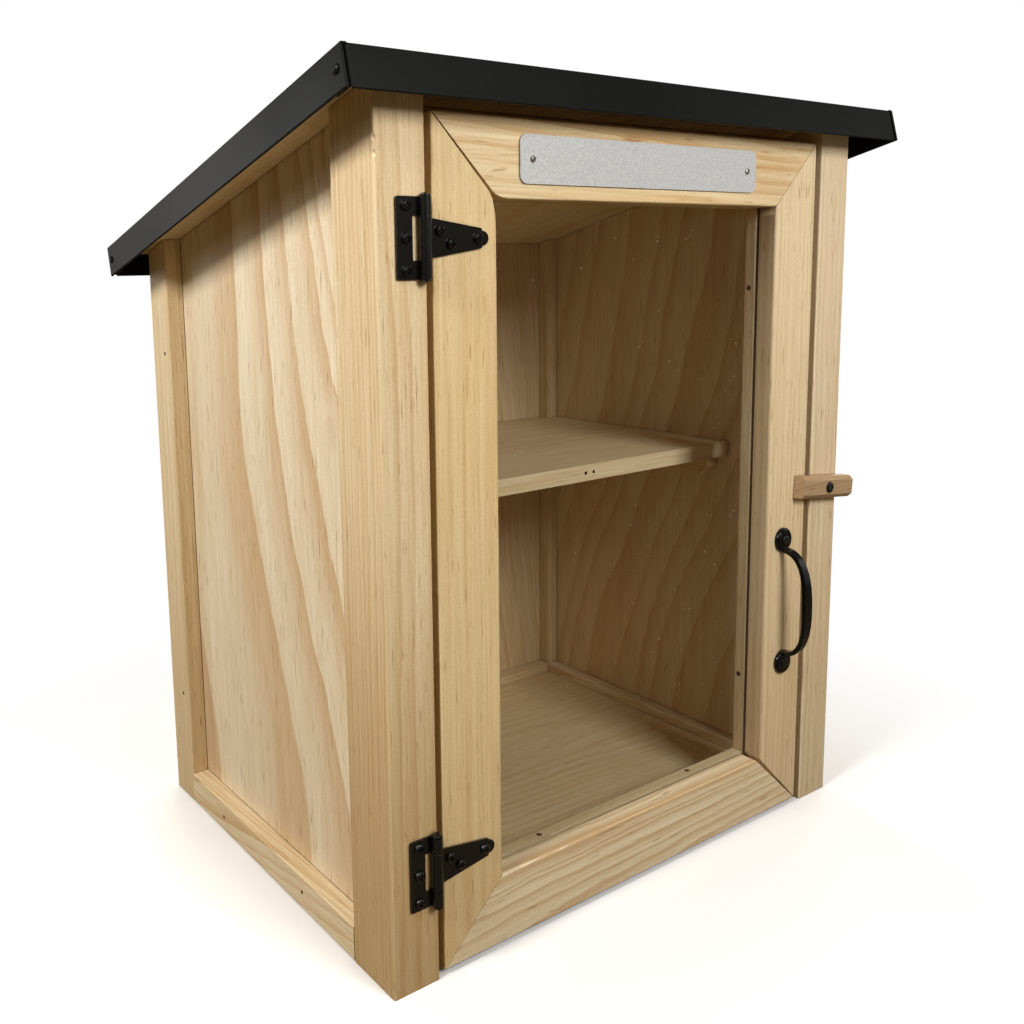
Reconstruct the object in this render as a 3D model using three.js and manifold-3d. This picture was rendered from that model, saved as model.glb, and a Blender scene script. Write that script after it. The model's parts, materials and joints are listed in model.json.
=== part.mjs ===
// Street book exchange box: a pine cabinet under a folded metal roof, with a glazed door
// on two T-hinges, a pull and a wooden turn button. Millimetres, +Z up, +X to the right;
// the front faces -Y. The origin is the middle of the footprint, on the underside.

import * as THREE from 'three';
import { mergeVertices } from 'three/addons/utils/BufferGeometryUtils.js';
import Module from 'manifold-3d';

const wasm = await Module();
wasm.setup();

// Clearances
const seat = 0.3; // between faces that are slanted, turned or cut by each other
const butt = 0.2; // between flat faces that meet
const overrun = 2; // how far a cutter runs past what it cuts

// Cabinet
const boxWidth = 490;
const boxDepth = 371.5;
const postWidth = 38;
const frontPostDepth = 51;
const rearPostDepth = 38.5;
const postRounding = 1.2;
const railHeight = 27;
const panelThickness = 9;
const panelRecess = 15.3;
const grooveDepth = 8;
const floorThickness = 18;
const sillSetback = 30;
const headRailDepth = 15;
const headRailLap = 21;

// Shelf
const shelfHeight = 307;
const shelfThickness = 14;
const shelfSetback = 97;
const cleatWidth = 15;
const cleatHeight = 20;
const cleatSetback = 12;

// Roof
const roofHeight = 615.5;
const roofSlopeDegrees = 13.73;
const roofFrontOverhang = 18;
const roofRearOverhang = 12.7;
const roofSideOverhang = 33.2;
const flangeHeight = 26.7;
const sheet = 1;
const bendRadius = 1.6;
const hemHeight = 7;
const cornerGap = 2.4; // between the side flange and the tab inside it
const tabLength = 16;
const tabBend = 2;
const endHemLength = 4; // doubled end of the side flange
const tabEar = 6; // how far down a tab its join to the top sheet reaches
const deckThickness = 6;
const rivetInset = 7.5;
const rivetHeadRadius = 3.3;
const rivetHeadHeight = 1.4;
const rivetShankRadius = 1.6;
const rivetTail = 1.2;

// Door
const hingeSideGap = 5;
const latchSideGap = 8;
const doorBottomGap = 4.7;
const doorTopClearance = 3.6; // below the lip of the roof's front flange
const doorThickness = 28.5;
const frameWidth = 52.5;
const outerRounding = 1.2;
const innerRounding = 1.6;
const lipDepth = 15.3;
const rabbetWidth = 8;
// Each mitre's gap at its outer and inner end, and how far its inner corner is eased away
const tightMitre = { outerGap: 0.4, innerGap: 0.4, easeMitre: 1.5, easeEdge: 2 };
const openStileMitre = { outerGap: 0.8, innerGap: 2.4, easeMitre: 9, easeEdge: 36 };
const openRailMitre = { outerGap: 0.8, innerGap: 2.4, easeMitre: 7, easeEdge: 15 };
const easedStileMitre = { outerGap: 0.5, innerGap: 0.5, easeMitre: 2, easeEdge: 7 };
const easedRailMitre = { outerGap: 0.5, innerGap: 0.5, easeMitre: 4, easeEdge: 4 };
const shortRailMitre = { outerGap: 0.6, innerGap: 7, easeMitre: 1, easeEdge: 1 };
const paneThickness = 2.5;
const stopRounding = 0.8;

// T-hinges
const hingeTopInset = 78;
const hingeBottomInset = 80;
const hingeAxisInset = 34.5;
const leafWidth = 20.3;
const leafThickness = 1.6;
const leafRounding = 1.5;
const leafSlotInset = 12.1;
const leafScrewInset = 7.1;
const leafScrewSpacing = 20;
const leafScrewMargin = 5.4; // above the top screw and below the bottom one
const knuckleRadius = 4;
const knuckleLength = 27.2; // the strap's middle knuckle
const pinRadius = 2.1;
const pinHeadRadius = 3.6;
const pinHeadHeight = 2;
const strapRootHeight = 26.6;
const strapShoulderReach = 46.9;
const strapShoulderHeight = 12.8;
const strapLobeReach = 52.5;
const strapLobeRadius = 4.7;
const strapScrews = [
  { reachShare: 0.24, riseShare: 0.17 },
  { reachShare: 0.41, riseShare: -0.135 },
  { reachShare: 0.83, riseShare: 0 },
];

// Pull handle
const handleHeight = 196.6; // its middle, above the underside
const handleShift = 2.2; // of its middle, from the middle of the stile towards the hinges
const handleLeanDegrees = 2.2; // its top stands a little nearer the hinges
const handleSpan = 111.2;
const handleFootRadius = 10.5;
const handleFootThickness = 3.6;
const handleFootRounding = 2;
const handleReach = 26.8;
const handleGripWidth = 10;
const handleNeckWidth = 6.5;
const handleBarThickness = 3.6;
const handleBowPower = 2.7;

// Nameplate
const plateWidth = 247;
const plateHeight = 32.3;
const plateThickness = 1.2;
const plateRounding = 6;
const plateShift = -5;
const plateScrewInset = 11;

// Turn button
const buttonLength = 70.2;
const buttonHeight = 19.4;
const buttonThickness = 11.6;
const buttonChamfer = 3.5; // along both of its front edges
const buttonTiltDegrees = 5.9; // as it was left, its free end a little low
const buttonPivotInset = 27.5;
const buttonPivotHeight = 293.1;

// Screws
const holeClearance = 0.3;
const hingeScrew = { headRadius: 3.8, headHeight: 2.2, shankRadius: 1.7, length: 18, slot: 4.2 };
const handleScrew = { headRadius: 4.6, headHeight: 1.2, shankRadius: 1.9, length: 20, slot: 4.4 };
const plateScrew = { headRadius: 2.4, headHeight: 1.3, shankRadius: 1.1, length: 12, slot: 2.6 };
const latchScrew = { headRadius: 5.2, headHeight: 1.2, shankRadius: 2.3, length: 34, slot: 5.4 };
const slotWidthShare = 0.22;
const slotDepthShare = 0.55;
const panHeadShares = [[0, 1], [0.6, 0.96], [0.9, 0.62], [1, 0]];

// How finely round stretches are faceted
const roundSegments = 16;
const cornerSegments = 3;
const screwSegments = 12;
const bowSegments = 24;
const easeSegments = 4;

// Places worked out from the sizes above
const left = -boxWidth / 2;
const right = boxWidth / 2;
const front = -boxDepth / 2;
const rear = boxDepth / 2;
const postInner = right - postWidth;
const panelInner = right - panelRecess - panelThickness;
const frontPostRear = front + frontPostDepth;
const rearPostFront = rear - rearPostDepth;
const backPanelFront = rear - panelRecess - panelThickness;

const slope = THREE.MathUtils.degToRad(roofSlopeDegrees);
const roofFront = front - roofFrontOverhang;
const roofLength = (roofFrontOverhang + boxDepth + roofRearOverhang) / Math.cos(slope);
const roofHalfWidth = right + roofSideOverhang;
const roofStack = sheet + seat + deckThickness + seat;
const tabOuter = roofHalfWidth - sheet - cornerGap;

const doorLeft = left + postWidth + hingeSideGap;
const doorRight = right - postWidth - latchSideGap;
const doorBottom = doorBottomGap;
const doorTop = roofHeight - flangeHeight * Math.cos(slope) - doorTopClearance;
const doorWidth = doorRight - doorLeft;
const doorHeight = doorTop - doorBottom;
const rabbetInset = frameWidth - rabbetWidth;
const paneFront = front + lipDepth + butt;
const stopFront = paneFront + paneThickness + butt;

const leafHeight = 2 * (leafScrewSpacing + leafScrewMargin);
const leafBack = front - butt;
const leafFront = leafBack - leafThickness;
const pinX = left + hingeAxisInset;
const pinY = leafBack - knuckleRadius;
const buttonPivotX = right - buttonPivotInset;

const X = new THREE.Vector3(1, 0, 0);
const Y = new THREE.Vector3(0, 1, 0);
const Z = new THREE.Vector3(0, 0, 1);

// Colours and finishes
const finish = (color, roughness, metalness) =>
  new THREE.MeshStandardMaterial({ color, roughness, metalness });
const pine = finish(0xe3cba4, 0.62, 0);
const weatheredPine = finish(0xb08a5e, 0.7, 0);
const plywood = finish(0xd9bd92, 0.7, 0);
const roofMetal = finish(0x2b2c2b, 0.5, 0.3);
const blackMetal = finish(0x121212, 0.32, 0.5);
const silver = finish(0xb4b6b6, 0.38, 0.85);
const acrylic = new THREE.MeshStandardMaterial({
  color: 0xdfe6e6, roughness: 0.05, metalness: 0, transparent: true, opacity: 0.25,
});

// Height of the roof deck's underside, less its seat, at a depth y
function deckUnderside(y) {
  return roofHeight - (y - roofFront) * Math.tan(slope) - roofStack / Math.cos(slope);
}

// Closed geometry to a solid and back
function solidOf(geometry) {
  const bare = geometry.clone();
  bare.deleteAttribute('normal');
  bare.deleteAttribute('uv');
  const merged = mergeVertices(bare);
  return new wasm.Manifold(new wasm.Mesh({
    numProp: 3,
    vertProperties: merged.attributes.position.array,
    triVerts: new Uint32Array(merged.index.array),
  }));
}

function geometryOf(solid) {
  const mesh = solid.getMesh();
  const geometry = new THREE.BufferGeometry();
  geometry.setAttribute('position', new THREE.BufferAttribute(new Float32Array(mesh.vertProperties), 3));
  geometry.setIndex(new THREE.BufferAttribute(new Uint32Array(mesh.triVerts), 1));
  const flat = geometry.toNonIndexed();
  flat.computeVertexNormals();
  return flat;
}

function joined(geometries) {
  const solids = geometries.map(solidOf);
  return geometryOf(solids.reduce((whole, solid) => whole.add(solid)));
}

function cut(geometry, cutters) {
  const tools = cutters.map(solidOf);
  return geometryOf(tools.reduce((whole, tool) => whole.subtract(tool), solidOf(geometry)));
}

function common(geometry, other) {
  return geometryOf(solidOf(geometry).intersect(solidOf(other)));
}

// Outlines
function polygon(points) {
  const shape = new THREE.Shape();
  shape.setFromPoints(points.map(([a, b]) => new THREE.Vector2(a, b)));
  return shape;
}

function roundedRectangle(a0, a1, b0, b1, radius) {
  const shape = new THREE.Shape();
  shape.moveTo(a0 + radius, b0);
  shape.lineTo(a1 - radius, b0);
  shape.absarc(a1 - radius, b0 + radius, radius, -Math.PI / 2, 0, false);
  shape.lineTo(a1, b1 - radius);
  shape.absarc(a1 - radius, b1 - radius, radius, 0, Math.PI / 2, false);
  shape.lineTo(a0 + radius, b1);
  shape.absarc(a0 + radius, b1 - radius, radius, Math.PI / 2, Math.PI, false);
  shape.lineTo(a0, b0 + radius);
  shape.absarc(a0 + radius, b0 + radius, radius, Math.PI, 1.5 * Math.PI, false);
  return shape;
}

// An outline drawn along the directions a and b, pushed out along a x b
function extruded(shape, depth, a, b, curveSegments = cornerSegments) {
  const geometry = new THREE.ExtrudeGeometry(shape, { depth, bevelEnabled: false, curveSegments });
  const out = new THREE.Vector3().crossVectors(a, b);
  return geometry.applyMatrix4(new THREE.Matrix4().makeBasis(a, b, out));
}

function alongX(shape, x0, x1, curveSegments) {
  return extruded(shape, x1 - x0, Y, Z, curveSegments).translate(x0, 0, 0);
}

function alongY(shape, y0, y1, curveSegments) {
  return extruded(shape, y1 - y0, X, Z, curveSegments).translate(0, y1, 0);
}

function alongZ(shape, z0, z1, curveSegments) {
  return extruded(shape, z1 - z0, X, Y, curveSegments).translate(0, 0, z0);
}

function block(x0, x1, y0, y1, z0, z1) {
  const geometry = new THREE.BoxGeometry(x1 - x0, y1 - y0, z1 - z0);
  return geometry.translate((x0 + x1) / 2, (y0 + y1) / 2, (z0 + z1) / 2);
}

// A round hole along Y, from the depth y0 to y1
function drilled(x, z, radius, y0, y1) {
  const geometry = new THREE.CylinderGeometry(radius, radius, y1 - y0, screwSegments);
  return geometry.translate(x, (y0 + y1) / 2, z);
}

// A turned piece: radius and height pairs, from the lowest height up, about Z or Y
function turnedAboutZ(profile) {
  const points = profile.map(([radius, height]) => new THREE.Vector2(radius, height));
  return new THREE.LatheGeometry(points, roundSegments).rotateX(Math.PI / 2);
}

function turnedAboutY(profile, segments = roundSegments) {
  const points = profile.map(([radius, height]) => new THREE.Vector2(radius, height));
  return new THREE.LatheGeometry(points, segments);
}

// Hangs a piece, drawn in the cabinet's own frame, on a group at its own anchor point
function addPiece(group, name, geometry, material, anchor = new THREE.Vector3()) {
  const mesh = new THREE.Mesh(geometry.translate(-anchor.x, -anchor.y, -anchor.z), material);
  mesh.name = name;
  mesh.position.copy(anchor).sub(group.userData.origin);
  group.add(mesh);
}

// A group's origin is the point, in the frame that its pieces are drawn in, where it stands
function addGroup(parent, position, origin = position) {
  const group = new THREE.Group();
  group.position.copy(position);
  group.userData.origin = origin;
  parent.add(group);
  return group;
}

// Screws: the head's underside lies at y, and the shank runs back from there
function screwShape({ headRadius, headHeight, shankRadius, length, slot }, x, y, z) {
  const head = panHeadShares.map(([r, h]) => [r * headRadius, -h * headHeight]);
  const shank = [[shankRadius, 0], [shankRadius, length - shankRadius], [0, length]];
  const body = turnedAboutY([...head, ...shank], screwSegments);
  const halfSlot = slot / 2;
  const halfWidth = slot * slotWidthShare / 2;
  const floor = -headHeight * (1 - slotDepthShare);
  const across = block(-halfSlot, halfSlot, -headHeight - overrun, floor, -halfWidth, halfWidth);
  const upright = block(-halfWidth, halfWidth, -headHeight - overrun, floor, -halfSlot, halfSlot);
  return cut(body, [across, upright]).translate(x, y, z);
}

function screwHole({ shankRadius, length }, x, y, z) {
  return drilled(x, z, shankRadius + holeClearance, y - overrun, y + length + holeClearance);
}

function addScrews(group, nameOf, spec, places) {
  places.forEach(([x, y, z], index) => {
    const anchor = new THREE.Vector3(x, y, z);
    addPiece(group, nameOf(index), screwShape(spec, x, y, z), blackMetal, anchor);
  });
}

// Where each screw's head sits
const hingeHeights = { upper: doorTop - hingeTopInset, lower: doorBottom + hingeBottomInset };

function leafScrewPlaces(height) {
  const x = pinX - leafWidth + leafScrewInset;
  return [1, 0, -1].map((row) => [x, leafFront - butt, height + row * leafScrewSpacing]);
}

function strapScrewPlaces(height) {
  return strapScrews.map(({ reachShare, riseShare }) => [
    pinX + reachShare * strapLobeReach, leafFront - butt, height + riseShare * strapRootHeight,
  ]);
}

const handleX = doorRight - frameWidth / 2 - handleShift;
const handleFootFront = leafBack - handleFootThickness;
const handleLean = THREE.MathUtils.degToRad(handleLeanDegrees);
const handleScrewPlaces = [1, -1].map((end) => [
  handleX - end * Math.sin(handleLean) * handleSpan / 2,
  handleFootFront - butt,
  handleHeight + end * Math.cos(handleLean) * handleSpan / 2,
]);

const plateX = (doorLeft + doorRight) / 2 + plateShift;
const plateZ = doorTop - frameWidth / 2;
const plateFront = leafBack - plateThickness;
const plateScrewPlaces = [-1, 1].map((end) => [
  plateX + end * (plateWidth / 2 - plateScrewInset), plateFront - butt, plateZ,
]);

const buttonBack = front - seat;
const buttonFront = buttonBack - buttonThickness;
const latchScrewPlace = [buttonPivotX, buttonFront - seat, buttonPivotHeight];

// Slots that the panels stand in, cut through posts and rails alike
function sidePanelSlot(side) {
  const outer = side * (right - panelRecess + seat);
  const inner = side * (panelInner - seat);
  return block(
    Math.min(outer, inner), Math.max(outer, inner),
    frontPostRear - grooveDepth, rearPostFront + grooveDepth,
    railHeight - grooveDepth, roofHeight + overrun,
  );
}

function backPanelSlot() {
  return block(
    -postInner - grooveDepth, postInner + grooveDepth,
    backPanelFront - seat, rear - panelRecess + seat,
    railHeight - grooveDepth, roofHeight + overrun,
  );
}

// Everything above the roof deck's underside
function aboveDeck() {
  const y0 = front - overrun;
  const y1 = rear + overrun;
  const top = roofHeight + overrun;
  const outline = polygon([[y0, deckUnderside(y0)], [y1, deckUnderside(y1)], [y1, top], [y0, top]]);
  return alongX(outline, left - overrun, right + overrun);
}

function postBlank(side, y0, y1) {
  const outer = side * right;
  const inner = side * postInner;
  const section = roundedRectangle(Math.min(outer, inner), Math.max(outer, inner), y0, y1, postRounding);
  return alongZ(section, 0, roofHeight);
}

function frontPost(side) {
  const cutters = [sidePanelSlot(side), aboveDeck()];
  if (side < 0) {
    const places = [...leafScrewPlaces(hingeHeights.upper), ...leafScrewPlaces(hingeHeights.lower)];
    cutters.push(...places.map((place) => screwHole(hingeScrew, ...place)));
  } else {
    cutters.push(screwHole(latchScrew, ...latchScrewPlace));
  }
  return cut(postBlank(side, front, frontPostRear), cutters);
}

function rearPost(side) {
  const cutters = [sidePanelSlot(side), backPanelSlot(), aboveDeck()];
  return cut(postBlank(side, rearPostFront, rear), cutters);
}

function sideRail(side) {
  const outer = side * right;
  const inner = side * postInner;
  const x0 = Math.min(outer, inner);
  const x1 = Math.max(outer, inner);
  const section = roundedRectangle(x0, x1, 0, railHeight, postRounding);
  return cut(alongY(section, frontPostRear + butt, rearPostFront - butt), [sidePanelSlot(side)]);
}

function rearRail() {
  const section = roundedRectangle(rearPostFront, rear, 0, railHeight, postRounding);
  return cut(alongX(section, -postInner + butt, postInner - butt), [backPanelSlot()]);
}

function frontSill() {
  const section = roundedRectangle(front + sillSetback, frontPostRear, 0, railHeight, postRounding);
  return alongX(section, -postInner + butt, postInner - butt);
}

function headRail() {
  const y0 = frontPostRear - headRailDepth;
  const bottom = doorTop - headRailLap;
  const outline = polygon([
    [y0, bottom], [frontPostRear, bottom],
    [frontPostRear, deckUnderside(frontPostRear)], [y0, deckUnderside(y0)],
  ]);
  return alongX(outline, -postInner + butt, postInner - butt);
}

// Panels, with their tops cut to the slope
function sidePanel(side) {
  const y0 = frontPostRear - grooveDepth + seat;
  const y1 = rearPostFront + grooveDepth - seat;
  const bottom = railHeight - grooveDepth + seat;
  const outline = polygon([[y0, bottom], [y1, bottom], [y1, deckUnderside(y1)], [y0, deckUnderside(y0)]]);
  const x0 = side < 0 ? left + panelRecess : panelInner;
  return alongX(outline, x0, x0 + panelThickness);
}

function backPanel() {
  const y1 = rear - panelRecess;
  const bottom = railHeight - grooveDepth + seat;
  const outline = polygon([
    [backPanelFront, bottom], [y1, bottom],
    [y1, deckUnderside(y1)], [backPanelFront, deckUnderside(backPanelFront)],
  ]);
  const reach = postInner + grooveDepth - seat;
  return alongX(outline, -reach, reach);
}

function floorBoard() {
  const reach = postInner - butt;
  return block(-reach, reach, frontPostRear + butt, rearPostFront - butt, 0, floorThickness);
}

// The shelf passes between the side panels and is notched round the rear posts
function shelfBoard() {
  const wide = panelInner - butt;
  const narrow = postInner - butt;
  const y0 = front + shelfSetback;
  const notch = rearPostFront - butt;
  const y1 = backPanelFront - butt;
  const outline = polygon([
    [-wide, y0], [wide, y0], [wide, notch], [narrow, notch],
    [narrow, y1], [-narrow, y1], [-narrow, notch], [-wide, notch],
  ]);
  return alongZ(outline, shelfHeight, shelfHeight + shelfThickness);
}

function cleat(side) {
  const y0 = front + shelfSetback + cleatSetback;
  const y1 = rearPostFront - butt;
  const top = shelfHeight - butt;
  const bottom = top - cleatHeight;
  const nose = y0 + cleatHeight / 2;
  const outline = polygon([
    [nose, bottom], [y1, bottom], [y1, top], [y0, top], [y0, top - cleatHeight / 2],
  ]);
  const outer = panelInner - butt;
  const x0 = side < 0 ? -outer : outer - cleatWidth;
  return alongX(outline, x0, x0 + cleatWidth);
}

// Roof, drawn flat: x across, y down the slope from the front edge, z square to it
function roofDeck() {
  const inset = sheet + seat;
  const reach = tabOuter - inset;
  const outline = roundedRectangle(-reach, reach, inset, roofLength - inset, tabBend - inset);
  return alongZ(outline, -inset - deckThickness, -inset);
}

// A bent flange with a closed hem: a runs inward from the outer face, b up
function flangeSection(leg) {
  const lip = -flangeHeight;
  const shape = new THREE.Shape();
  shape.moveTo(0, lip + sheet);
  shape.lineTo(0, -bendRadius);
  shape.absarc(bendRadius, -bendRadius, bendRadius, Math.PI, Math.PI / 2, true);
  shape.lineTo(leg, 0);
  shape.lineTo(leg, -sheet);
  shape.lineTo(bendRadius, -sheet);
  shape.absarc(bendRadius, -bendRadius, bendRadius - sheet, Math.PI / 2, Math.PI, false);
  shape.lineTo(sheet, lip + hemHeight);
  shape.lineTo(2 * sheet, lip + hemHeight);
  shape.lineTo(2 * sheet, lip + sheet);
  shape.absarc(sheet, lip + sheet, sheet, 0, -Math.PI, true);
  return shape;
}

function flange(inward, length, middle) {
  const leg = bendRadius + sheet + cornerGap;
  const geometry = extruded(flangeSection(leg), length, inward, Z);
  const along = new THREE.Vector3().crossVectors(inward, Z);
  const start = middle.clone().addScaledVector(along, -length / 2);
  return geometry.translate(start.x, start.y, start.z);
}

// The front flange's sheet seen from above, bent back at both ends into a tab
function wrapOutline() {
  const bendX = tabOuter - tabBend;
  const shape = new THREE.Shape();
  shape.moveTo(tabOuter, tabLength);
  shape.lineTo(tabOuter, tabBend);
  shape.absarc(bendX, tabBend, tabBend, 0, -Math.PI / 2, true);
  shape.lineTo(-bendX, 0);
  shape.absarc(-bendX, tabBend, tabBend, -Math.PI / 2, -Math.PI, true);
  shape.lineTo(-tabOuter, tabLength);
  shape.lineTo(sheet - tabOuter, tabLength);
  shape.lineTo(sheet - tabOuter, tabBend);
  shape.absarc(-bendX, tabBend, tabBend - sheet, Math.PI, 1.5 * Math.PI, false);
  shape.lineTo(bendX, sheet);
  shape.absarc(bendX, tabBend, tabBend - sheet, -Math.PI / 2, 0, false);
  shape.lineTo(tabOuter - sheet, tabLength);
  return shape;
}

// The front or rear flange: its bent and hemmed stretch, its wrapped sheet and the tabs' ears
function wrappedFlange() {
  const straight = 2 * (tabOuter - tabBend);
  const wrap = alongZ(wrapOutline(), sheet - flangeHeight, -bendRadius, 2 * cornerSegments);
  const ears = [-1, 1].map((side) => {
    const outer = side * tabOuter;
    const inner = side * (tabOuter - sheet);
    return block(Math.min(outer, inner), Math.max(outer, inner), tabBend, tabLength, -tabEar, -sheet / 2);
  });
  return joined([flange(Y, straight, new THREE.Vector3()), wrap, ...ears]);
}

// The side flange's sheet doubled at its end
function endHem(side, end) {
  const outer = side * (roofHalfWidth - sheet / 2);
  const inner = side * (roofHalfWidth - 2 * sheet);
  const y0 = end < 0 ? 0 : roofLength - endHemLength;
  return block(
    Math.min(outer, inner), Math.max(outer, inner), y0, y0 + endHemLength,
    sheet - flangeHeight, -bendRadius,
  );
}

function rivetPlace(side, end) {
  const y = end < 0 ? rivetInset : roofLength - rivetInset;
  return new THREE.Vector3(side * roofHalfWidth, y, -flangeHeight / 2);
}

function rivetHole(side, end) {
  const { x, y, z } = rivetPlace(side, end);
  const reach = sheet + cornerGap + sheet + overrun;
  const radius = rivetShankRadius + seat;
  const geometry = new THREE.CylinderGeometry(radius, radius, 2 * reach, roundSegments);
  return geometry.rotateZ(Math.PI / 2).translate(x, y, z);
}

const corners = [-1, 1].flatMap((side) => [-1, 1].map((end) => ({ side, end })));

function roofTray() {
  const middle = roofLength / 2;
  const top = block(
    -roofHalfWidth + bendRadius, roofHalfWidth - bendRadius,
    bendRadius, roofLength - bendRadius, -sheet, 0,
  );
  const whole = joined([
    top,
    flange(X, roofLength, new THREE.Vector3(-roofHalfWidth, middle, 0)),
    flange(X.clone().negate(), roofLength, new THREE.Vector3(roofHalfWidth, middle, 0)),
    wrappedFlange(),
    wrappedFlange().rotateZ(Math.PI).translate(0, roofLength, 0),
    ...corners.map(({ side, end }) => endHem(side, end)),
  ]);
  return cut(whole, corners.map(({ side, end }) => rivetHole(side, end)));
}

// A pop rivet: domed head outside, shank through both sheets, swollen tail inside
function rivet(side) {
  const grip = sheet + cornerGap + sheet + 2 * seat;
  const tailRadius = rivetShankRadius + rivetTail / 2;
  const profile = [
    [0, -grip - rivetTail], [rivetShankRadius, -grip - rivetTail], [tailRadius, -grip - rivetTail / 2],
    [rivetShankRadius, -grip], [rivetShankRadius, 0], [rivetHeadRadius, 0],
    [rivetHeadRadius, rivetHeadHeight / 4], [rivetHeadRadius / 2, rivetHeadHeight], [0, rivetHeadHeight],
  ];
  return turnedAboutZ(profile).rotateY(side * Math.PI / 2).translate(side * seat, 0, 0);
}

// Door members: the outer edge is at 0, the front face at 0, and the length runs along Z
function memberSection() {
  const shape = new THREE.Shape();
  shape.moveTo(outerRounding, 0);
  shape.lineTo(frameWidth - innerRounding, 0);
  shape.absarc(frameWidth - innerRounding, innerRounding, innerRounding, -Math.PI / 2, 0, false);
  shape.lineTo(frameWidth, lipDepth);
  shape.lineTo(rabbetInset, lipDepth);
  shape.lineTo(rabbetInset, doorThickness);
  shape.lineTo(0, doorThickness);
  shape.lineTo(0, outerRounding);
  shape.absarc(outerRounding, outerRounding, outerRounding, Math.PI, 1.5 * Math.PI, false);
  return shape;
}

// A mitre's line from the outer edge to the inner one, in distances across and along
function mitreLine({ outerGap, innerGap, easeMitre, easeEdge }) {
  const outer = new THREE.Vector2(0, outerGap / Math.SQRT2);
  const corner = new THREE.Vector2(frameWidth, frameWidth + innerGap / Math.SQRT2);
  const inward = corner.clone().sub(outer).normalize();
  const leave = corner.clone().addScaledVector(inward, -easeMitre);
  const meet = new THREE.Vector2(frameWidth, corner.y + easeEdge);
  const eased = new THREE.QuadraticBezierCurve(leave, corner, meet).getPoints(easeSegments);
  return [outer.addScaledVector(inward, -overrun), ...eased, meet.clone().setX(frameWidth + overrun)];
}

function doorMember(length, across, start, startMitre, endMitre) {
  const blank = alongZ(memberSection(), 0, length);
  const near = mitreLine(startMitre).map(({ x, y }) => [x, y]);
  const far = mitreLine(endMitre).map(({ x, y }) => [x, length - y]).reverse();
  const mitres = alongY(polygon([...near, ...far]), -overrun, doorThickness + overrun);
  const member = common(blank, mitres);
  const along = new THREE.Vector3().crossVectors(across, Y);
  member.applyMatrix4(new THREE.Matrix4().makeBasis(across, Y, along));
  return member.translate(start.x, start.y, start.z);
}

function leftStile() {
  const places = [...strapScrewPlaces(hingeHeights.upper), ...strapScrewPlaces(hingeHeights.lower)];
  const start = new THREE.Vector3(doorLeft, front, doorBottom);
  const member = doorMember(doorHeight, X, start, tightMitre, openStileMitre);
  return cut(member, places.map((place) => screwHole(hingeScrew, ...place)));
}

function rightStile() {
  const start = new THREE.Vector3(doorRight, front, doorTop);
  const member = doorMember(doorHeight, X.clone().negate(), start, easedStileMitre, tightMitre);
  return cut(member, handleScrewPlaces.map((place) => screwHole(handleScrew, ...place)));
}

function topRail() {
  const start = new THREE.Vector3(doorLeft, front, doorTop);
  const member = doorMember(doorWidth, Z.clone().negate(), start, openRailMitre, easedRailMitre);
  return cut(member, plateScrewPlaces.map((place) => screwHole(plateScrew, ...place)));
}

function bottomRail() {
  const start = new THREE.Vector3(doorRight, front, doorBottom);
  return doorMember(doorWidth, Z, start, shortRailMitre, tightMitre);
}

function windowPane() {
  return block(
    doorLeft + rabbetInset + seat, doorRight - rabbetInset - seat,
    paneFront, paneFront + paneThickness,
    doorBottom + rabbetInset + seat, doorTop - rabbetInset - seat,
  );
}

// Stops hold the pane: two run the full height, two lie between them
function uprightStop(side) {
  const outer = side < 0 ? doorLeft + rabbetInset + butt : doorRight - frameWidth;
  const section = roundedRectangle(
    outer, outer + rabbetWidth - butt, stopFront, front + doorThickness, stopRounding,
  );
  return alongZ(section, doorBottom + rabbetInset + butt, doorTop - rabbetInset - butt, 1);
}

function levelStop(end) {
  const lower = end < 0 ? doorBottom + rabbetInset + butt : doorTop - frameWidth;
  const section = roundedRectangle(
    stopFront, front + doorThickness, lower, lower + rabbetWidth - butt, stopRounding,
  );
  return alongX(section, doorLeft + frameWidth + butt, doorRight - frameWidth - butt, 1);
}

// A flat strip rolled round the pin; side is where the strip lies, and y = 0 is the pin
function rolledSection(side) {
  const open = Math.acos((knuckleRadius - leafThickness - seat) / knuckleRadius);
  const start = Math.PI / 2;
  const end = start + side * (2 * Math.PI - open);
  const inner = knuckleRadius - leafThickness;
  const shape = new THREE.Shape();
  shape.moveTo(side * knuckleRadius, knuckleRadius);
  shape.lineTo(0, knuckleRadius);
  shape.absarc(0, 0, knuckleRadius, start, end, side < 0);
  shape.lineTo(inner * Math.cos(end), inner * Math.sin(end));
  shape.absarc(0, 0, inner, end, start, side > 0);
  shape.lineTo(side * knuckleRadius, inner);
  return shape;
}

function knuckle(side, z0, z1) {
  return alongZ(rolledSection(side), z0, z1, roundSegments).translate(pinX, pinY, 0);
}

function hingeLeaf(height) {
  const x0 = pinX - leafWidth;
  const halfHeight = leafHeight / 2;
  const halfGap = knuckleLength / 2 + seat;
  const outline = roundedRectangle(x0, pinX, height - halfHeight, height + halfHeight, leafRounding);
  const gap = block(
    x0 + leafSlotInset, pinX + overrun, leafFront - overrun, leafBack + overrun,
    height - halfGap, height + halfGap,
  );
  const plate = cut(alongY(outline, leafFront, leafBack), [gap]);
  const whole = joined([
    plate,
    knuckle(-1, height + halfGap, height + halfHeight),
    knuckle(-1, height - halfHeight, height - halfGap),
  ]);
  return cut(whole, leafScrewPlaces(height).map((place) => screwHole(hingeScrew, ...place)));
}

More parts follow.
